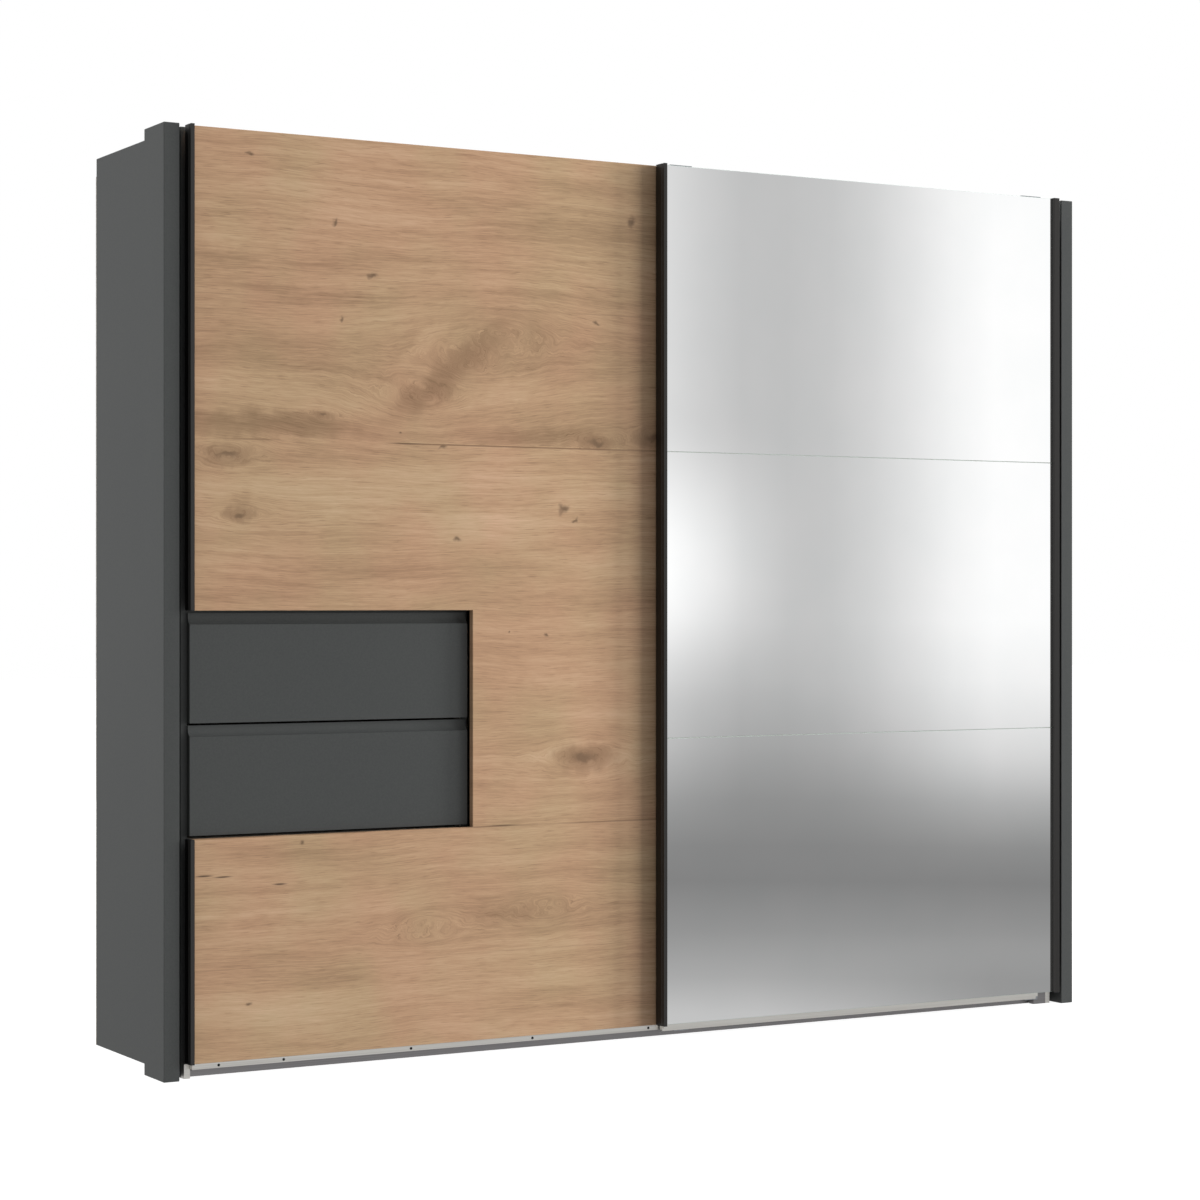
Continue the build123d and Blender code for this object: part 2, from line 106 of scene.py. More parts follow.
def addRoughness(tree, shader, value, low, high):
    rough = addNode(tree, "ShaderNodeMapRange", {0: value, 3: low, 4: high}).outputs[0]
    tree.links.new(rough, shader.inputs["Roughness"])


def addBump(tree, shader, height, strength, depth):
    bump = addNode(tree, "ShaderNodeBump", {"Height": height, "Strength": strength, "Distance": depth})
    tree.links.new(bump.outputs[0], shader.inputs["Normal"])


def startMaterial(name, **sockets):
    material = bpy.data.materials.new(name)
    material.use_nodes = True
    tree = material.node_tree
    shader = tree.nodes["Principled BSDF"]
    for socket, value in sockets.items():
        shader.inputs[socket.replace("_", " ")].default_value = value
    position = addNode(tree, "ShaderNodeTexCoord").outputs["Object"]
    return material, tree, shader, position


def grey(value):
    return (value, value, value, 1.0)


studio = {
    "cameraPlace": (-3.5055, -6.1185, 1.0447),
    "cameraTurn": -29.762,  # degrees, the camera is level
    "lens": 85.9,
    "sensor": 36.0,
    "floorSize": 60.0,
    "floorGlow": 0.93,
    "floorTones": (0.34, 0.36),
    "ambient": 0.35,
    "shownWhite": 1.0,
    # in degrees up: where the side tones give way to an even one, and where the foot tones take over
    "sidesFade": (-3.0, -5.8),
    "plainSides": 0.72,
    "footFade": (-6.6, -8.0),
    # a soft glow low at the left of what the mirror sees: fades to the right, above and below
    "glowFades": ((34.2, 31.0), (3.8, 0.8), (-2.2, 0.6)),
    "glow": 0.34,
}

# each softbox: place, where it points, width and height in metres, power in watts
softboxes = {
    "keySoftbox": ((16.0, -4.96, 2.6), (0.0, -0.27, 1.0), 3.5, 8.0, 3500),
    "fillSoftbox": ((7.2, -5.9, 2.0), (0.0, -0.27, 1.0), 3.6, 5.0, 560),
    "leftSoftbox": ((-7.5, 2.4, 1.8), (-1.2, 0.0, 1.0), 3.0, 4.0, 235),
    "topSoftbox": ((0.0, 2.0, 6.0), (0.0, 0.3, 2.0), 4.0, 3.0, 260),
    "backSoftbox": ((1.0, 8.0, 2.4), (0.0, 0.3, 1.0), 5.0, 4.0, 520),
}

# what the mirror sees out in the studio: degrees to the right of straight ahead, and degrees up
mirrorSideTones = [(31.2, 0.76), (31.8, 0.67), (32.6, 0.59), (33.5, 0.58), (34.4, 0.62), (35.2, 0.71),
                   (36.0, 0.84), (36.8, 0.99), (37.6, 1.08)]
mirrorHeightTones = [(-9.5, 0.94), (-8.2, 0.82), (-7.5, 0.61), (-6.6, 0.45), (-5.6, 0.345), (-4.9, 0.375),
                     (-4.0, 0.49), (-2.9, 0.71), (-1.6, 0.90), (-0.4, 1.0), (1.5, 1.0)]
mirrorFootTones = [(31.2, 1.0), (33.0, 0.98), (35.5, 0.84), (37.6, 0.66)]


def makeCamera():
    lens = bpy.data.cameras.new("shopCamera")
    lens.lens = studio["lens"]
    lens.sensor_width = studio["sensor"]
    camera = bpy.data.objects.new("shopCamera", lens)
    camera.location = studio["cameraPlace"]
    camera.rotation_euler = (math.pi / 2, 0, math.radians(studio["cameraTurn"]))
    bpy.context.collection.objects.link(camera)
    bpy.context.scene.camera = camera


def makeFloor():
    half = studio["floorSize"] / 2
    mesh = bpy.data.meshes.new("paleFloor")
    corners = [(-half, -half, -mm), (half, -half, -mm), (half, half, -mm), (-half, half, -mm)]
    mesh.from_pydata(corners, [], [(0, 1, 2, 3)])
    floor = bpy.data.objects.new("paleFloor", mesh)
    bpy.context.collection.objects.link(floor)
    material, tree, shader, position = startMaterial("paleFloorPaint", Roughness=0.9)
    speckle = addNode(tree, "ShaderNodeTexNoise", {"Vector": position, "Scale": 3.0}).outputs[0]
    dim, pale = studio["floorTones"]
    tone = addNode(tree, "ShaderNodeValToRGB", {0: speckle}, [(0.3, grey(dim)), (0.7, grey(pale))])
    tree.links.new(tone.outputs[0], shader.inputs["Base Color"])
    shader.inputs["Emission Color"].default_value = grey(1.0)
    shader.inputs["Emission Strength"].default_value = studio["floorGlow"]
    mesh.materials.append(material)
    floor.visible_diffuse = False  # the studio's own light stands in for what the floor sends back
    floor.visible_glossy = False


def makeSoftboxes():
    for name, (place, target, width, height, power) in softboxes.items():
        light = bpy.data.lights.new(name, "AREA")
        light.shape = "RECTANGLE"
        light.size, light.size_y = width, height
        light.energy = power
        lamp = bpy.data.objects.new(name, light)
        lamp.location = place
        lamp.rotation_euler = (Vector(target) - Vector(place)).to_track_quat("-Z", "Y").to_euler()
        lamp.visible_glossy = False
        lamp.visible_camera = False
        bpy.context.collection.objects.link(lamp)


def toneRamp(tree, angle, tones):
    low, high = tones[0][0], tones[-1][0]
    place = addNode(tree, "ShaderNodeMapRange", {0: angle, 1: low, 2: high}).outputs[0]
    stops = [((degrees - low) / (high - low), grey(tone)) for degrees, tone in tones]
    return addNode(tree, "ShaderNodeValToRGB", {0: place}, stops).outputs[0]


def makeStudioAir():
    world = bpy.data.worlds.new("studioAir")
    bpy.context.scene.world = world
    world.use_nodes = True
    tree = world.node_tree
    direction = addNode(tree, "ShaderNodeTexCoord").outputs["Generated"]
    parts = addNode(tree, "ShaderNodeSeparateXYZ", {0: direction}).outputs
    ahead = calculate(tree, "MULTIPLY", parts["Y"], -1.0)
    turn = calculate(tree, "DEGREES", calculate(tree, "ARCTAN2", parts["X"], ahead))
    tilt = calculate(tree, "DEGREES", calculate(tree, "ARCSINE", parts["Z"]))

    sides = mixColours(tree, smooth(tree, tilt, *studio["sidesFade"]),
                       toneRamp(tree, turn, mirrorSideTones), grey(studio["plainSides"]))
    foot = mixColours(tree, smooth(tree, tilt, *studio["footFade"]),
                      grey(1.0), toneRamp(tree, turn, mirrorFootTones))
    tone = mixColours(tree, 1.0, sides, toneRamp(tree, tilt, mirrorHeightTones), "MULTIPLY")
    tone = mixColours(tree, 1.0, tone, foot, "MULTIPLY")
    glow = studio["glow"]
    for angle, ends in zip((turn, tilt, tilt), studio["glowFades"]):
        glow = calculate(tree, "MULTIPLY", smooth(tree, angle, *ends), glow)
    tone = mixColours(tree, 1.0, tone, glow, "ADD")

    rays = addNode(tree, "ShaderNodeLightPath").outputs
    seen = mixColours(tree, rays["Is Glossy Ray"], grey(studio["ambient"]), tone)
    seen = mixColours(tree, rays["Is Camera Ray"], seen, grey(studio["shownWhite"]))
    tree.links.new(seen, tree.nodes["Background"].inputs["Color"])


makeCamera()
makeFloor()
makeSoftboxes()
makeStudioAir()
bpy.context.scene.view_settings.view_transform = "Standard"
print("studio: camera, floor and", len(softboxes), "softboxes in place")


# Oak decor paper under clear matt melamine: warm mid brown, long horizontal grain that parts round
# knots, short dark pores, and a plank joint every 200 to 400 mm.
plankOak = {
    "deep": "#86694F",
    "dark": "#A68569",
    "mid": "#BF9C7D",
    "light": "#D6B799",
    "knotHeart": "#5A4533",
    "knotRim": "#8A6C51",
    "crack": "#33261C",
    "tonePlaces": (0.12, 0.36, 0.52, 0.78),  # deep, dark, mid and light
    "tints": ("#FFFAF7", "#FAFFF8"),
    # grain patterns: length, thickness, detail, roughness, and how much each changes the tone
    "streaks": [(0.60, 75 * mm, 2.0, 0.5, 0.46), (0.40, 13 * mm, 5.0, 0.7, 0.38),
                (0.07, 2.6 * mm, 4.0, 0.75, 0.56)],
    "pores": (0.045, 1.9 * mm, 1.0, 0.5),
    "poreRange": (0.60, 0.74),
    "poreDepth": -0.15,
    # noise scale and reach: of the ragged edges, and of the long waves in the grain
    "ragged": (26.0, 0.05),
    "wave": (2.2, 0.05),
    "tallest": 2.1,
    # each plank: its lower edge's height in metres, its tone, where its grain was cut from the log,
    # and how dark the joint below it is
    "planks": [(0.0, 0.53, 0.10, 0.0), (0.235, 0.51, 0.75, 0.15), (0.523, 0.52, 0.35, 0.70),
               (0.81, 0.50, 0.90, 0.10), (1.19, 0.54, 0.22, 0.15), (1.399, 0.48, 0.60, 0.85),
               (1.716, 0.51, 0.48, 0.30)],
    "jointHalf": 1.7 * mm,
    "jointBreaks": (0.36, 0.54),
    # knots that turn the grain: across, up, radius
    "bigKnots": [(-1.10, 1.362, 0.030), (-0.87, 1.458, 0.014), (-0.17, 1.414, 0.024), (-0.20, 0.675, 0.040),
                 (-1.07, 1.234, 0.020), (-0.01, 1.435, 0.030)],
    # the same with no heart of their own, only the turned grain
    "swirls": [(-0.615, 1.520, 0.045), (-0.515, 1.600, 0.050), (-0.420, 1.650, 0.045), (-0.62, 0.300, 0.035),
               (-0.30, 0.330, 0.030)],
    # a big knot's rim and heart: where each starts and is full, in radii, and how much it covers
    "knotRings": [("knotRim", 1.15, 0.5, 0.5), ("knotHeart", 0.5, 0.1, 0.55)],
    # knots like pin heads: across, up, radius
    "pinKnots": [(-1.05, 2.026, 0.007), (-0.84, 1.894, 0.008), (-0.75, 1.776, 0.010), (-0.825, 1.671, 0.006),
                 (-0.075, 1.939, 0.013), (-0.166, 1.699, 0.007), (-0.674, 1.421, 0.005),
                 (-0.577, 1.389, 0.008), (-0.258, 1.255, 0.013), (-0.229, 1.233, 0.006),
                 (-0.535, 1.177, 0.011), (-0.302, 0.955, 0.006), (-0.404, 0.972, 0.005),
                 (-0.923, 0.500, 0.007), (-1.051, 0.159, 0.007)],
    "pinStretch": 1.6,
    "pinTurn": 20,
    "pinCover": 0.75,
    # darker (+) or paler (-) figure: across, up, half length, half height, turn in degrees, strength
    "figure": [(-1.00, 1.432, 0.36, 0.045, 1, 1.15), (-1.13, 1.80, 0.14, 0.045, -6, 0.45),
               (-0.53, 1.585, 0.20, 0.055, 40, 0.95), (-0.64, 1.500, 0.13, 0.050, 32, 0.65),
               (-0.40, 1.53, 0.15, 0.05, 12, -0.50), (-0.62, 1.63, 0.12, 0.03, 40, -0.45),
               (-0.30, 1.425, 0.32, 0.028, 0, 0.55), (-0.20, 0.68, 0.17, 0.055, 20, 0.75),
               (-1.05, 0.34, 0.20, 0.025, -4, 0.35), (-0.40, 0.32, 0.16, 0.03, 0, 0.35),
               (-0.45, 1.22, 0.30, 0.05, 0, -0.40), (-0.80, 1.27, 0.22, 0.05, 0, -0.35),
               (-0.85, 0.14, 0.35, 0.05, 2, -0.30), (-0.30, 0.86, 0.20, 0.03, 0, -0.35),
               (-1.07, 1.255, 0.06, 0.03, 50, 0.50), (-0.85, 1.72, 0.30, 0.03, -3, 0.30)],
    "figureDepth": -0.2,
    # short open checks in the grain: across, up, half length, half height, turn in degrees
    "checks": [(-1.155, 0.442, 0.030, 0.0030, 0), (-1.11, 0.438, 0.030, 0.0028, 1),
               (-0.975, 0.416, 0.024, 0.0032, 0), (-0.66, 1.399, 0.060, 0.0030, 0),
               (-0.42, 0.524, 0.060, 0.0028, 0)],
    "checkCover": 0.9,
    "roughness": (0.44, 0.60),
    "bump": (0.25, 0.3 * mm),
}


def makeKnotGroup():
    group = bpy.data.node_groups.new("grainRoundKnot", "ShaderNodeTree")
    for name, kind in (("Height", "NodeSocketFloat"), ("Position", "NodeSocketVector"),
                       ("Knot", "NodeSocketVector"), ("Radius", "NodeSocketFloat")):
        group.interface.new_socket(name, in_out="INPUT", socket_type=kind)
    for name in ("Height", "Distance"):
        group.interface.new_socket(name, in_out="OUTPUT", socket_type="NodeSocketFloat")
    given = addNode(group, "NodeGroupInput").outputs
    away = vectorMath(group, "SUBTRACT", given["Position"], given["Knot"])
    flat = vectorMath(group, "MULTIPLY", away, (0.42, 0, 1))  # a knot is wider than tall
    far = addNode(group, "ShaderNodeVectorMath", {0: flat}, operation="LENGTH").outputs["Value"]
    ratio = calculate(group, "DIVIDE", far, given["Radius"])
    soft = calculate(group, "ADD", calculate(group, "MULTIPLY", ratio, ratio), 0.45)
    rise = addNode(group, "ShaderNodeSeparateXYZ", {0: away}).outputs["Z"]
    height = calculate(group, "SUBTRACT", given["Height"], calculate(group, "DIVIDE", rise, soft))
    addNode(group, "NodeGroupOutput", {"Height": height, "Distance": ratio})
    return group


def makePatchGroup():
    group = bpy.data.node_groups.new("woodPatch", "ShaderNodeTree")
    for name, kind in (("Position", "NodeSocketVector"), ("Place", "NodeSocketVector"),
                       ("Size", "NodeSocketVector"), ("Turn", "NodeSocketFloat")):
        group.interface.new_socket(name, in_out="INPUT", socket_type=kind)
    group.interface.new_socket("Mask", in_out="OUTPUT", socket_type="NodeSocketFloat")
    given = addNode(group, "NodeGroupInput").outputs
    away = vectorMath(group, "SUBTRACT", given["Position"], given["Place"])
    turned = addNode(group, "ShaderNodeVectorRotate", {"Vector": away, "Angle": given["Turn"]},
                     rotation_type="Y_AXIS").outputs[0]
    flat = vectorMath(group, "DIVIDE", vectorMath(group, "MULTIPLY", turned, (1, 0, 1)), given["Size"])
    far = addNode(group, "ShaderNodeVectorMath", {0: flat}, operation="LENGTH").outputs["Value"]
    addNode(group, "NodeGroupOutput", {"Mask": smooth(group, far, 1.0, 0.1)})
    return group


def makePlankOak():
    material, tree, shader, position = startMaterial("plankOakMattMelamine", Roughness=0.52)
    knotGroup, patchGroup = makeKnotGroup(), makePatchGroup()
    across, _, up = addNode(tree, "ShaderNodeSeparateXYZ", {0: position}).outputs

    # ragged position, so that knots and figure have natural edges
    scale, reach = plankOak["ragged"]
    drift = addNode(tree, "ShaderNodeTexNoise",
                    {"Vector": position, "Scale": scale, "Detail": 3.0}).outputs[1]
    drift = vectorMath(tree, "SUBTRACT", drift, (0.5, 0.5, 0.5))
    drift = addNode(tree, "ShaderNodeVectorMath", {0: drift, "Scale": reach}, operation="SCALE").outputs[0]
    ragged = vectorMath(tree, "ADD", position, drift)

    # grain height, parted by each big knot and swirl
    height = up
    hearts = None
    for x, z, radius in plankOak["bigKnots"] + plankOak["swirls"]:
        knot = addNode(tree, "ShaderNodeGroup",
                       {"Height": height, "Position": ragged, "Knot": (x, 0, z), "Radius": radius},
                       node_tree=knotGroup).outputs
        height = knot["Height"]
        if (x, z, radius) in plankOak["bigKnots"]:
            far = knot["Distance"]
            hearts = far if hearts is None else calculate(tree, "MINIMUM", hearts, far)

    # which plank, with its tone and the part of the log it was cut from
    tallest = plankOak["tallest"]
    planks = [(low / tallest, (tone, cut, 0, 1)) for low, tone, cut, _ in plankOak["planks"]]
    plank = addNode(tree, "ShaderNodeValToRGB", {0: calculate(tree, "DIVIDE", up, tallest)}, planks)
    plank.color_ramp.interpolation = "CONSTANT"
    tone, cut, _ = addNode(tree, "ShaderNodeSeparateColor", {0: plank.outputs[0]}).outputs
    scale, reach = plankOak["wave"]
    height = calculate(tree, "MULTIPLY_ADD", noise(tree, position, scale, 2.0, 0.4), reach, height)
    grain = addNode(tree, "ShaderNodeCombineXYZ", {0: across, 1: cut, 2: height}).outputs[0]

    def streaks(along, thickness, detail, roughness):
        stretched = vectorMath(tree, "MULTIPLY", grain, (1 / along, 40, 1 / thickness))
        return noise(tree, stretched, 1.0, detail, roughness)

    def patch(where, x, z, length, tall, turn):
        inputs = {"Position": where, "Place": (x, 0, z), "Size": (length, 1, tall),
                  "Turn": math.radians(turn)}
        return addNode(tree, "ShaderNodeGroup", inputs, node_tree=patchGroup).outputs[0]

    # all of it adds to one tone from 0, dark, to 1, pale
    for *pattern, strength in plankOak["streaks"]:
        fibres = streaks(*pattern)
        centred = calculate(tree, "SUBTRACT", fibres, 0.5)
        tone = calculate(tree, "MULTIPLY_ADD", centred, strength, tone)
    for *shape, strength in plankOak["figure"]:
        change = plankOak["figureDepth"] * strength
        tone = calculate(tree, "MULTIPLY_ADD", patch(ragged, *shape), change, tone)
    pores = smooth(tree, streaks(*plankOak["pores"]), *plankOak["poreRange"])
    tone = calculate(tree, "MULTIPLY_ADD", pores, plankOak["poreDepth"], tone)
    codes = [plankOak[name] for name in ("deep", "dark", "mid", "light")]
    colour = colourRamp(tree, tone, plankOak["tonePlaces"], codes)

    # a little rose and olive, as print and lacquer shift over a board
    tint = colourRamp(tree, noise(tree, position, 5.0, 2.0), (0.35, 0.65), plankOak["tints"])
    colour = mixColours(tree, 1.0, colour, tint, "MULTIPLY")

    # knot hearts with a paler rim, pin knots and open checks
    for paint, outer, inner, cover in plankOak["knotRings"]:
        covered = smooth(tree, hearts, outer, inner, cover)
        colour = mixColours(tree, covered, colour, linear(plankOak[paint]))
    pins = [(ragged, x, z, plankOak["pinStretch"] * radius, radius, plankOak["pinTurn"], "knotHeart",
             plankOak["pinCover"]) for x, z, radius in plankOak["pinKnots"]]
    checks = [(position, *check, "crack", plankOak["checkCover"]) for check in plankOak["checks"]]
    for *shape, paint, cover in pins + checks:
        covered = calculate(tree, "MULTIPLY", patch(*shape), cover)
        colour = mixColours(tree, covered, colour, linear(plankOak[paint]))

    # plank joints, strong in places and nearly gone in others
    low, high = plankOak["jointBreaks"]
    broken = noise(tree, position, 4.0, 1.0)
    broken = addNode(tree, "ShaderNodeMapRange", {0: broken, 1: low, 2: high}).outputs[0]
    for foot, _, _, dark in plankOak["planks"][1:]:
        gap = calculate(tree, "COMPARE", up, foot, plankOak["jointHalf"])
        gap = calculate(tree, "MULTIPLY", calculate(tree, "MULTIPLY", gap, broken), dark)
        colour = mixColours(tree, gap, colour, linear(plankOak["deep"]))

    tree.links.new(colour, shader.inputs["Base Color"])
    addRoughness(tree, shader, fibres, *plankOak["roughness"])
    addBump(tree, shader, calculate(tree, "MULTIPLY_ADD", pores, -0.5, fibres), *plankOak["bump"])
    return material


finishColours = {
    "graphite": "#444645",
    "graphitePit": "#3E4040",
    "linen": "#C9C4B9",
    "linenThread": "#B4AEA2",
    "hardboardFace": "#CFCAC0",
    "hardboardBack": "#8A6A48",
    "hardboardFleck": "#6F5236",
    "mirrorSilver": "#F6F6F6",
    "mirrorHaze": "#F2F3F3",
    "glassEdge": "#C3D8CF",
    "darkAnodised": "#4A4948",
    "darkStreak": "#434241",
    "naturalAnodised": "#E4E2DD",
    "naturalStreak": "#D6D3CD",
    # the natural anodised colours darkened to grey: painted shade for pale anodised rail parts that stand in
    # shadow
    "anodisedPaintedShade": "#979596",
    "anodisedStreakPaintedShade": "#8A8889",
    "zinc": "#A6A9AD",
    "zincPatch": "#8E9296",
    "blackZinc": "#2A2B2D",
    "chrome": "#DADBDD",
    "greyPlastic": "#8C8C8A",
    "blackPlastic": "#1B1B1C",
}


# for each kind of finish: where its two colours lie on its noise, how strong and deep its relief is,
# and what else its code needs
surfaces = {
    "melamine": {"places": (0.45, 0.85), "bump": (0.15, 0.15 * mm), "cloudScale": 1.5, "cloudShare": 0.35},
    "linen": {"places": (0.42, 0.58), "bump": (0.3, 0.2 * mm), "thread": (30 * mm, 2 * mm),
              "bandFacing": -0.9, "bandDepth": -0.2},
    "hardboard": {"places": (0.4, 0.6), "bump": (0.2, 0.2 * mm), "thread": (60 * mm, 3 * mm),
                  "fleckScale": 260.0, "fleckPlaces": (0.35, 0.6), "rawFacing": 0.5},
    "mirror": {"places": (0.3, 0.7), "hazeScale": 5.0, "silverFacing": 0.9, "edgeRoughness": 0.35},
    "aluminium": {"places": (0.35, 0.65), "bump": (0.08, 0.1 * mm), "lineWidth": 1.5 * mm, "along": 2.0,
                  "roughSpread": 0.06},
    "plated": {"places": (0.4, 0.8), "cloudScale": 40.0, "cellShare": 0.3, "roughSpread": 0.2},
    "plastic": {"places": (0.4, 0.8), "bump": (0.2, 0.1 * mm), "grainScale": 900.0, "worn": (1.25, 0.004),
                "roughSpread": 0.05},
}


def makeMelamine(name, base, pit, pearl, roughness):
    # pressed melamine with a fine pearl: one even tone, a matt sheen and pits too small to see apart,
    # so they are drawn a few times coarser
    settings = surfaces["melamine"]
    material, tree, shader, position = startMaterial(name, Roughness=roughness)
    cloud = noise(tree, position, settings["cloudScale"], 2.0)
    pits = noise(tree, position, 1 / pearl, 2.0)
    mixed = calculate(tree, "MULTIPLY_ADD", cloud, settings["cloudShare"], pits)
    colour = colourRamp(tree, mixed, settings["places"], (finishColours[pit], finishColours[base]))
    tree.links.new(colour, shader.inputs["Base Color"])
    addBump(tree, shader, pits, *settings["bump"])
    return material


def threads(tree, position, along, thickness):
    # threads that run along X, Y and Z, so that any face shows two of them crossed
    total = None
    for axis in range(3):
        stretch = [1 / thickness] * 3
        stretch[axis] = 1 / along
        thread = noise(tree, vectorMath(tree, "MULTIPLY", position, stretch), 1.0, 2.0)
        total = thread if total is None else calculate(tree, "ADD", total, thread)
    return calculate(tree, "DIVIDE", total, 3.0)


def facingParts(tree):
    facing = addNode(tree, "ShaderNodeNewGeometry").outputs["True Normal"]
    return addNode(tree, "ShaderNodeSeparateXYZ", {0: facing}).outputs


def makeLinenMelamine():
    # linen-look melamine inside the carcass: pale warm grey with crossed threads about 2 mm apart,
    # and front edges banded in the colour of the outside
    settings = surfaces["linen"]
    material, tree, shader, position = startMaterial("linenMelamine", Roughness=0.6)
    weave = threads(tree, position, *settings["thread"])
    codes = (finishColours["linenThread"], finishColours["linen"])
    colour = colourRamp(tree, weave, settings["places"], codes)
    # the edge bands: only at the front of the carcass, on faces that look forward
    _, backward, _ = facingParts(tree)
    _, depth, _ = addNode(tree, "ShaderNodeSeparateXYZ", {0: position}).outputs
    forward = calculate(tree, "LESS_THAN", backward, settings["bandFacing"])
    front = calculate(tree, "LESS_THAN", depth, settings["bandDepth"])
    banded = calculate(tree, "MULTIPLY", forward, front)
    colour = mixColours(tree, banded, colour, linear(finishColours["graphite"]))
    tree.links.new(colour, shader.inputs["Base Color"])
    addBump(tree, shader, weave, *settings["bump"])
    return material


def makeLacqueredHardboard():
    # hardboard: lacquered pale on the side that faces the room, raw pressed fibre behind and below
    settings = surfaces["hardboard"]
    material, tree, shader, position = startMaterial("lacqueredHardboard", Roughness=0.62)
    _, backward, upward = facingParts(tree)
    raw = calculate(tree, "SUBTRACT", backward, upward)
    raw = calculate(tree, "GREATER_THAN", raw, settings["rawFacing"])
    flecks = noise(tree, position, settings["fleckScale"], 4.0)
    weave = threads(tree, position, *settings["thread"])
    fibre = colourRamp(tree, flecks, settings["fleckPlaces"],
                       (finishColours["hardboardFleck"], finishColours["hardboardBack"]))
    face = colourRamp(tree, weave, settings["places"],
                      (finishColours["linenThread"], finishColours["hardboardFace"]))
    tree.links.new(mixColours(tree, raw, face, fibre), shader.inputs["Base Color"])
    addBump(tree, shader, flecks, *settings["bump"])
    return material


def makeSilveredMirror():
    # silvered float glass: a clean sharp reflection from the faces, pale green ground edges
    settings = surfaces["mirror"]
    material, tree, shader, position = startMaterial("silveredFloatGlass")
    _, forward, _ = facingParts(tree)
    silver = calculate(tree, "GREATER_THAN", calculate(tree, "ABSOLUTE", forward), settings["silverFacing"])
    haze = noise(tree, position, settings["hazeScale"], 4.0)
    codes = (finishColours["mirrorHaze"], finishColours["mirrorSilver"])
    tone = colourRamp(tree, haze, settings["places"], codes)
    colour = mixColours(tree, silver, linear(finishColours["glassEdge"]), tone)
    tree.links.new(colour, shader.inputs["Base Color"])
    tree.links.new(silver, shader.inputs["Metallic"])
    addRoughness(tree, shader, silver, settings["edgeRoughness"], 0.0)
    return material


def makeExtrudedAluminium(name, base, streak, axis, roughness):
    # anodised extrusion: satin, with faint drawing lines along its length
    settings = surfaces["aluminium"]
    material, tree, shader, position = startMaterial(name, Metallic=1.0)
    stretch = [1 / settings["lineWidth"]] * 3
    stretch[axis] = settings["along"]
    lines = noise(tree, vectorMath(tree, "MULTIPLY", position, stretch), 1.0, 3.0)
    colour = colourRamp(tree, lines, settings["places"], (finishColours[streak], finishColours[base]))
    tree.links.new(colour, shader.inputs["Base Color"])
    spreadBy = settings["roughSpread"]
    addRoughness(tree, shader, lines, roughness - spreadBy, roughness + spreadBy)
    addBump(tree, shader, lines, *settings["bump"])
    return material


def makePlatedSteel(name, base, patch, grain, roughness):
    # plated steel: a bright metal with cloudy crystal patches, or nearly none on chrome
    settings = surfaces["plated"]
    material, tree, shader, position = startMaterial(name, Metallic=1.0)
    cells = addNode(tree, "ShaderNodeTexVoronoi", {"Vector": position, "Scale": 1 / grain}).outputs["Color"]
    cells = addNode(tree, "ShaderNodeSeparateColor", {0: cells}).outputs[0]
    clouds = noise(tree, position, settings["cloudScale"], 3.0)
    mixed = calculate(tree, "MULTIPLY_ADD", cells, settings["cellShare"], clouds)
    colour = colourRamp(tree, mixed, settings["places"], (finishColours[patch], finishColours[base]))
    tree.links.new(colour, shader.inputs["Base Color"])
    spreadBy = settings["roughSpread"]
    addRoughness(tree, shader, mixed, (1 - spreadBy) * roughness, (1 + spreadBy) * roughness)
    return material


def makeMouldedPlastic(name, base, roughness):
    # moulded plastic: an even colour with the fine spark grain of the tool
    settings = surfaces["plastic"]
    material, tree, shader, position = startMaterial(name)
    grain = noise(tree, position, settings["grainScale"], 2.0)
    red, green, blue, _ = linear(finishColours[base])
    gain, lift = settings["worn"]
    worn = (gain * red + lift, gain * green + lift, gain * blue + lift, 1.0)
    low, high = settings["places"]
    stops = [(low, (red, green, blue, 1.0)), (high, worn)]
    colour = addNode(tree, "ShaderNodeValToRGB", {0: grain}, stops).outputs[0]
    tree.links.new(colour, shader.inputs["Base Color"])
    spreadBy = settings["roughSpread"]
    addRoughness(tree, shader, grain, roughness - spreadBy, roughness + spreadBy)
    addBump(tree, shader, grain, *settings["bump"])
    return material


upright, lengthwise = 2, 0
finishes = {
    "graphite_board": makeMelamine("graphiteMattMelamine", "graphite", "graphitePit", 4 * mm, 0.55),
    "inner_board": makeLinenMelamine(),
    "back_hardboard": makeLacqueredHardboard(),
    "plank_oak_board": makePlankOak(),
    "mirror_glass": makeSilveredMirror(),
    "dark_aluminium": makeExtrudedAluminium(
        "darkAnodisedAluminium", "darkAnodised", "darkStreak", upright, 0.42),
    "rail_aluminium": makeExtrudedAluminium(
        "naturalAnodisedAluminium", "naturalAnodised", "naturalStreak", lengthwise, 0.38),
    # the natural anodised extrusion again, with its colour darkened to grey as painted shade
    "grey_aluminium": makeExtrudedAluminium(
        "anodisedAluminiumPaintedShade", "anodisedPaintedShade", "anodisedStreakPaintedShade", lengthwise, 0.42),
    "zinc_steel": makePlatedSteel("brightZincSteel", "zinc", "zincPatch", 6 * mm, 0.35),
    "clothes_rail_chrome": makePlatedSteel("chromedSteelTube", "chrome", "zinc", 40 * mm, 0.08),
    "grey_plastic": makeMouldedPlastic("greyMouldedPlastic", "greyPlastic", 0.45),
    "black_plastic": makeMouldedPlastic("blackMouldedPlastic", "blackPlastic", 0.5),
}
blackZincSteel = makePlatedSteel("blackZincSteel", "blackZinc", "darkStreak", 3 * mm, 0.4)

for subpart in frame["record"]["subparts"]:
    for holder in cadNodes[subpart["node"]].material_slots:
        holder.material = finishes[subpart["material_slot"]]
print("finishes:", len(finishes), "slots painted")


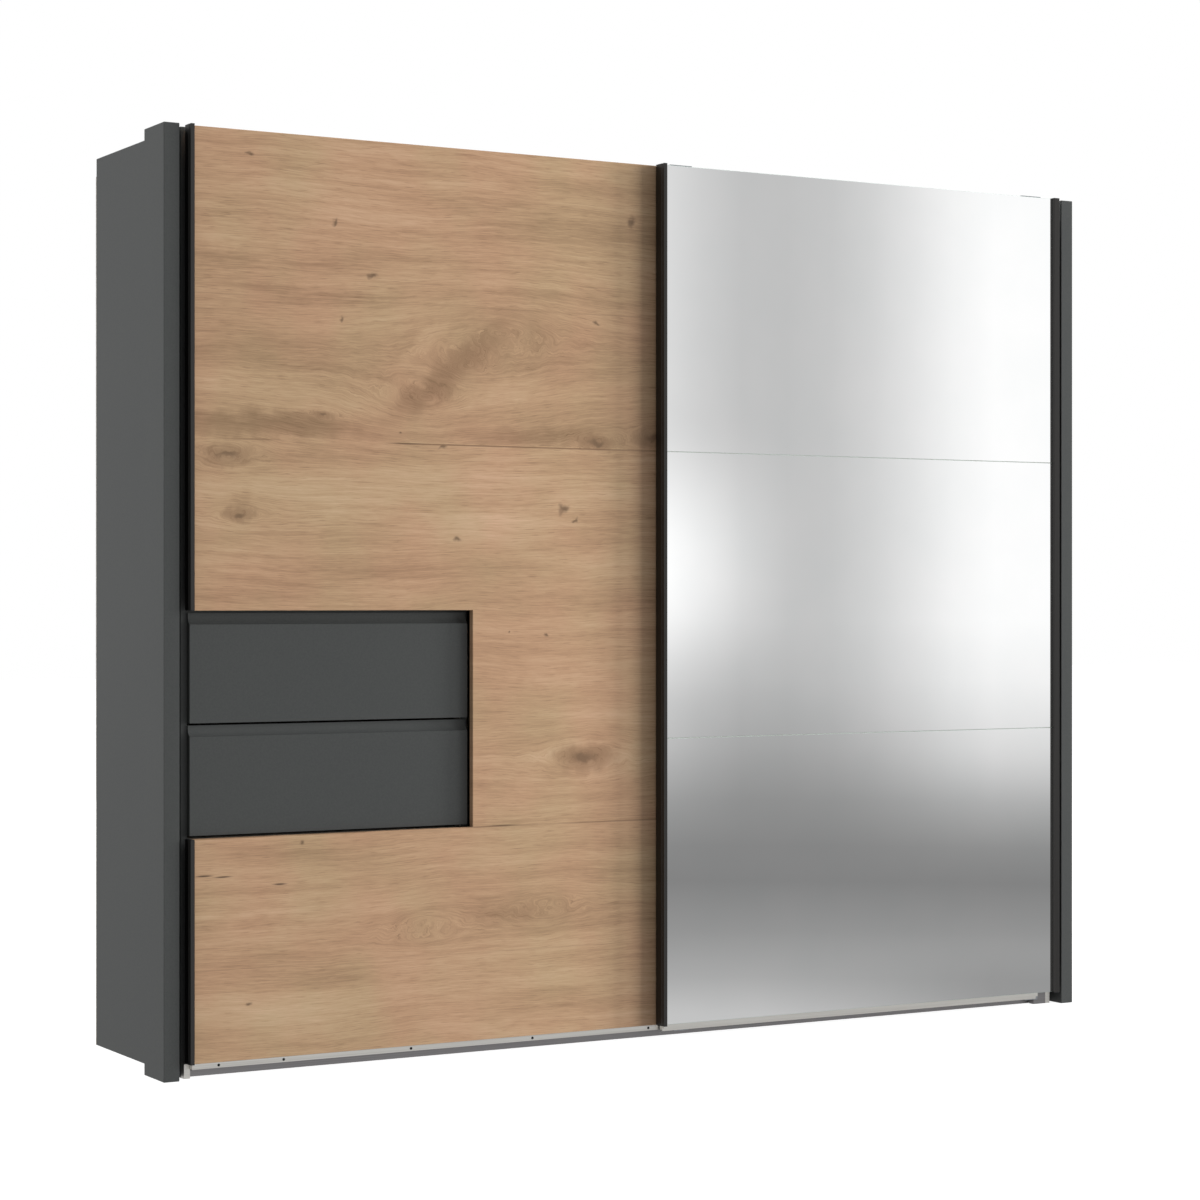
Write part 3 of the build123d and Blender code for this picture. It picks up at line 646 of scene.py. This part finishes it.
handleShape = {
    "capThickness": 1.5 * mm,
    "noseRadius": 2.2 * mm,
    "noseSteps": 5,
    "grooveSteps": 6,
    "reveal": 0.8 * mm,  # shadow groove where the bar meets the door's face
    "groovePlace": 7 * mm,  # finger groove's middle, behind the front
    "grooveHalf": 4 * mm,
    "grooveDepth": 1.0 * mm,
    "cutOutBetween": (0.1, 2.0),  # the bar's ends at a cut-out lie between these heights
}


def meshPiece(name, build, materials):
    mesh = bpy.data.meshes.new(name)
    shape = bmesh.new()
    build(shape)
    bmesh.ops.recalc_face_normals(shape, faces=shape.faces)
    shape.to_mesh(mesh)
    shape.free()
    for material in materials:
        mesh.materials.append(material)
    piece = bpy.data.objects.new(name, mesh)
    bpy.context.collection.objects.link(piece)
    return piece


def extrudeOutline(shape, outline, low, high, materialIndex=0, forward=False):
    # the outline lies flat and is drawn out upwards, or stands and is drawn out from front to back
    rings = [[shape.verts.new((a, end, b) if forward else (a, b, end)) for a, b in outline]
             for end in (low, high)]
    faces = [shape.faces.new(rings[0][::-1]), shape.faces.new(rings[1])]
    for i in range(len(outline)):
        j = (i + 1) % len(outline)
        faces.append(shape.faces.new((rings[0][i], rings[0][j], rings[1][j], rings[1][i])))
    for face in faces:
        face.material_index = materialIndex


def handleOutline(low, high, panelFace, outward):
    # outward is -1 where the bar's free side is its left side, and 1 where it is its right side
    free, joined = (low.x, high.x) if outward < 0 else (high.x, low.x)
    inward = -outward
    radius, steps = handleShape["noseRadius"], handleShape["noseSteps"]
    middle, half, depth = (handleShape[name] for name in ("groovePlace", "grooveHalf", "grooveDepth"))
    outline = [(free, high.y)]
    # the finger groove, a shallow curve in the free side
    for step in range(handleShape["grooveSteps"] + 1):
        turn = math.pi * step / handleShape["grooveSteps"]
        outline.append((free + inward * depth * math.sin(turn), low.y + middle + half * math.cos(turn)))
    for corner, side in ((free, inward), (joined, -inward)):
        arc = []
        for step in range(steps + 1):
            turn = math.pi / 2 * step / steps
            arc.append((corner + side * radius * (1 - math.cos(turn)), low.y + radius * (1 - math.sin(turn))))
        outline += arc if corner == free else arc[::-1]
    reveal = handleShape["reveal"]
    outline += [(joined, panelFace - reveal), (joined - inward * reveal, panelFace - reveal),
                (joined - inward * reveal, panelFace), (joined, panelFace), (joined, high.y)]
    return outline


def makeHandle(name, node, body, panelFace, outward):
    low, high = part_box(node)
    heights = sorted({round(vertex.co.z, 4) for vertex in cadNodes[node].data.vertices})
    lowest, highest = handleShape["cutOutBetween"]
    ends = [z for z in heights if z in (heights[0], heights[-1]) or lowest < z < highest]
    spans = [(ends[i], ends[i + 1]) for i in range(0, len(ends), 2)]
    outline = handleOutline(low, high, panelFace, outward)
    cap = handleShape["capThickness"]

    def build(shape):
        for bottom, top in spans:
            extrudeOutline(shape, outline, bottom + cap, top - cap)
            for start in (bottom, top - cap):
                extrudeOutline(shape, outline, start, start + cap, 1)

    piece = meshPiece(name, build, [finishes["dark_aluminium"], finishes["black_plastic"]])
    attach(piece, body)
    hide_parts(node)


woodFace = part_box("wood_door_panel")[0].y
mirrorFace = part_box("mirror_pane_top")[0].y
makeHandle("woodDoorHandleBars", "wood_door_handles", "wood_door", woodFace, -1)
makeHandle("mirrorDoorHandleLeftBar", "mirror_door_handle_left", "mirror_door", mirrorFace, -1)
makeHandle("mirrorDoorHandleRightBar", "mirror_door_handle_right", "mirror_door", mirrorFace, 1)
print("handles: three extruded bars with end caps")


mirrorJoint = {"stand": 0.25 * mm, "slack": 0.1 * mm}


def makeMirrorJoints():
    def build(shape):
        for under, over in (("bottom", "middle"), ("middle", "top")):
            low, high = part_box(f"mirror_pane_{under}"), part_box(f"mirror_pane_{over}")
            z0, z1 = low[1].z + mirrorJoint["slack"], high[0].z - mirrorJoint["slack"]
            y0, y1 = low[0].y + mirrorJoint["stand"], low[1].y
            outline = [(low[0].x, y0), (low[1].x, y0), (low[1].x, y1), (low[0].x, y1)]
            extrudeOutline(shape, outline, z0, z1)

    piece = meshPiece("mirrorJointStrips", build, [finishes["rail_aluminium"]])
    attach(piece, "mirror_door")


makeMirrorJoints()
print("mirror: joint strips between the panes")

endStop = {"bracketWidth": 14 * mm, "length": 38 * mm, "slope": 13 * mm, "foot": 14 * mm}


def makeEndStops():
    # two pale brackets, and a sloped stop beside the right one, whose pale anodised aluminium is darkened to
    # grey as painted shade
    low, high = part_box("rail_end_brackets")
    wide = endStop["bracketWidth"]
    inner = high.x - wide - endStop["length"]
    sloped = [(inner, low.z), (high.x - wide, low.z), (high.x - wide, high.z),
              (inner + endStop["slope"], high.z), (inner, low.z + endStop["foot"])]

    def build(shape):
        for x in (low.x, high.x - wide):
            plate = [(x, low.z), (x + wide, low.z), (x + wide, high.z), (x, high.z)]
            extrudeOutline(shape, plate, low.y, high.y, 0, True)
        extrudeOutline(shape, sloped, low.y, high.y, 1, True)

    piece = meshPiece("railEndStops", build, [finishes["rail_aluminium"], finishes["grey_aluminium"]])
    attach(piece, "carcass")
    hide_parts("rail_end_brackets")


makeEndStops()
print("guide rail: end brackets and stop")


fixings = {
    # a head from its middle to its rim and foot: radius and height, as parts of the whole
    "headProfile": [(0.0, 1.0), (0.5, 0.97), (0.82, 0.75), (1.0, 0.3), (1.0, 0.0), (0.0, 0.0)],
    "crossLong": 0.52,
    "crossShort": 0.13,
    "crossFloors": (0.35, 0.34),  # the two slots end a little apart, so that their floors never coincide
    "crossTop": 1.5,
    "panHeadSides": 16,
    "nailSides": 8,
    "doorScrew": {"radius": 3.2 * mm, "height": 1.0 * mm},
    "plateScrew": {"radius": 3.0 * mm, "height": 0.5 * mm},
    "railScrew": {"radius": 3.5 * mm, "height": 0.8 * mm},
    "backNail": {"radius": 2.6 * mm, "height": 0.8 * mm},
    # the screwed plates: width, and rows of screws up from the foot or down from the top
    "plates": {
        "carriages": {"width": 60 * mm, "rowsUp": (10 * mm, 26 * mm), "rowsDown": ()},
        "guides": {"width": 40 * mm, "rowsUp": (), "rowsDown": (10 * mm,)},
    },
    "plateSpread": 0.6,
    "nailPitch": 0.12,
    "nailRange": (0.10, 0.04),  # from the floor, and down from the top panel
    "nailEnds": 0.06,
    "sideMiddle": 8 * mm,
    "railPitch": 0.33,
    "railEnds": 0.05,
    "railBase": 2 * mm,
    "stripScrewGap": 20 * mm,  # two edges further apart than this belong to two screws
    "hangerThickness": {"wood": 3 * mm, "mirror": 2 * mm},
    "seed": 7,
}


def makeHead(name, sides, recess):
    def build(shape):
        rows = []
        for radius, height in fixings["headProfile"]:
            count = sides if radius else 1
            turns = [math.tau * i / count for i in range(count)]
            rows.append([shape.verts.new((radius * math.cos(t), radius * math.sin(t), height))
                         for t in turns])
        for above, below in zip(rows, rows[1:]):
            for i in range(sides):
                j = (i + 1) % sides
                corners = [row[k % len(row)] for row, k in ((above, i), (below, i), (below, j), (above, j))]
                shape.faces.new(list(dict.fromkeys(corners)))  # a row of one vertex makes triangles

    head = meshPiece(name, build, [])
    if recess:
        def buildCross(shape):
            long, short = fixings["crossLong"], fixings["crossShort"]
            for (x, y), floor in zip(((long, short), (short, long)), fixings["crossFloors"]):
                outline = [(-x, -y), (x, -y), (x, y), (-x, y)]
                extrudeOutline(shape, outline, floor, fixings["crossTop"])

        cross = meshPiece(name + "Cross", buildCross, [])
        cut = head.modifiers.new("recess", "BOOLEAN")
        cut.operation, cut.object, cut.solver, cut.use_self = "DIFFERENCE", cross, "EXACT", True
        solid = bpy.data.meshes.new_from_object(head.evaluated_get(bpy.context.evaluated_depsgraph_get()))
        head.modifiers.clear()
        head.data = solid
        bpy.data.objects.remove(cross)
    return head


def makeFixingTree():
    tree = bpy.data.node_groups.new("fixingsOnPlaces", "GeometryNodeTree")
    for name, kind in (("Places", "Geometry"), ("Head", "Object"), ("Facing", "Vector"), ("Radius", "Float"),
                       ("Height", "Float"), ("Seed", "Int"), ("Finish", "Material")):
        tree.interface.new_socket(name, in_out="INPUT", socket_type=f"NodeSocket{kind}")
    tree.interface.new_socket("Fixings", in_out="OUTPUT", socket_type="NodeSocketGeometry")
    given = addNode(tree, "NodeGroupInput").outputs
    head = addNode(tree, "GeometryNodeObjectInfo", {"Object": given["Head"]}).outputs["Geometry"]
    size = addNode(tree, "ShaderNodeCombineXYZ", {0: given["Radius"], 1: given["Radius"], 2: given["Height"]})
    turn = addNode(tree, "FunctionNodeRandomValue", {2: 0.0, 3: math.pi / 2, "Seed": given["Seed"]},
                   data_type="FLOAT").outputs[1]
    spin = addNode(tree, "FunctionNodeAxisAngleToRotation", {"Axis": (0, 0, 1), "Angle": turn}).outputs[0]
    aim = addNode(tree, "FunctionNodeAlignRotationToVector", {"Vector": given["Facing"]}, axis="Z").outputs[0]
    aim = addNode(tree, "FunctionNodeRotateRotation", {0: aim, 1: spin}, rotation_space="LOCAL").outputs[0]
    placed = addNode(tree, "GeometryNodeInstanceOnPoints",
                     {"Points": given["Places"], "Instance": head, "Rotation": aim, "Scale": size.outputs[0]})
    real = addNode(tree, "GeometryNodeRealizeInstances", {0: placed.outputs[0]}).outputs[0]
    painted = addNode(tree, "GeometryNodeSetMaterial",
                      {"Geometry": real, "Material": given["Finish"]}).outputs[0]
    addNode(tree, "NodeGroupOutput", {"Fixings": painted})
    return tree


crossHead = makeHead("crossHead", fixings["panHeadSides"], True)
nailHead = makeHead("nailHead", fixings["nailSides"], False)
fixingTree = makeFixingTree()
fixingSockets = {item.name: item.identifier for item in fixingTree.interface.items_tree}


def placeFixings(name, body, kind, head, facing, places, finish=finishes["zinc_steel"]):
    mesh = bpy.data.meshes.new(name)
    mesh.from_pydata(places, [], [])
    piece = bpy.data.objects.new(name, mesh)
    modifier = piece.modifiers.new("fixings", "NODES")
    modifier.node_group = fixingTree
    values = {"Head": head, "Facing": facing, "Radius": fixings[kind]["radius"],
              "Height": fixings[kind]["height"], "Seed": fixings["seed"], "Finish": finish}
    for socket, value in values.items():
        modifier[fixingSockets[socket]] = value
    bpy.context.collection.objects.link(piece)
    bpy.context.view_layer.update()
    made = bpy.data.meshes.new_from_object(piece.evaluated_get(bpy.context.evaluated_depsgraph_get()))
    piece.modifiers.clear()
    piece.data = made
    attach(piece, body)
    return piece


def spread(low, high, pitch):
    # evenly spaced places between two ends, as near to the pitch as fits
    count = max(1, round((high - low) / pitch))
    return [low + (high - low) * i / count for i in range(count + 1)]


def makeStripScrews():
    low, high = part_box("wood_door_strip_screws")
    xs = sorted({round(vertex.co.x, 4) for vertex in cadNodes["wood_door_strip_screws"].data.vertices})
    groups = [[xs[0]]]
    for x in xs[1:]:
        if x - groups[-1][-1] > fixings["stripScrewGap"]:
            groups.append([])
        groups[-1].append(x)
    z = (low.z + high.z) / 2
    places = [((group[0] + group[-1]) / 2, woodFace, z) for group in groups]
    piece = placeFixings("woodDoorStripScrews", "wood_door", "doorScrew", crossHead, (0, -1, 0), places,
                         blackZincSteel)
    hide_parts("wood_door_strip_screws")


def makePlateScrews(door, board):
    # two rows on each hanging plate and one on each guide plate, on the door's back
    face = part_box(board)[1].y + fixings["hangerThickness"][door]
    for kind, plate in fixings["plates"].items():
        low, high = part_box(f"{door}_door_{kind}")
        half = plate["width"] / 2
        out = fixings["plateSpread"] * half
        xs = [middle + side * out for middle in (low.x + half, high.x - half) for side in (-1, 1)]
        zs = [low.z + row for row in plate["rowsUp"]] + [high.z - row for row in plate["rowsDown"]]
        places = [(x, face, z) for x in xs for z in zs]
        placeFixings(f"{door}Door{kind.capitalize()}Screws", f"{door}_door", "plateScrew", crossHead,
                     (0, 1, 0), places)


def makeRailScrews():
    low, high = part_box("top_running_rail")
    y = (low.y + high.y) / 2
    xs = spread(low.x + fixings["railEnds"], high.x - fixings["railEnds"], fixings["railPitch"])
    places = [(x, y, low.z + fixings["railBase"]) for x in xs]
    placeFixings("topRailScrews", "carcass", "railScrew", crossHead, (0, 0, 1), places)


def makeBackNails():
    left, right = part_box("back_panel_left"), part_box("back_panel_right")
    sideMiddle, ends, pitch = fixings["sideMiddle"], fixings["nailEnds"], fixings["nailPitch"]
    lowest, fromTop = fixings["nailRange"]
    face = left[1].y
    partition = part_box("drawer_partition")
    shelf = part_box("hat_shelf_left")
    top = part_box("top_panel_left")
    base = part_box("bottom_panel_left")
    columns = (left[0].x + sideMiddle, (partition[0].x + partition[1].x) / 2, right[1].x - sideMiddle)
    places = [(x, face, z) for x in columns for z in spread(lowest, top[0].z - fromTop, pitch)]
    for panel in (left, right):
        for board in (top, base):
            z = (board[0].z + board[1].z) / 2
            xs = spread(panel[0].x + ends, panel[1].x - ends, pitch)
            places += [(x, face, z) for x in xs]
    placeFixings("backPanelNails", "carcass", "backNail", nailHead, (0, 1, 0), places)


makeStripScrews()
makePlateScrews("wood", "wood_door_panel")
makePlateScrews("mirror", "mirror_door_board")
makeRailScrews()
makeBackNails()
for head in (crossHead, nailHead):
    bpy.data.objects.remove(head)
print("fixings: screws and nails placed")
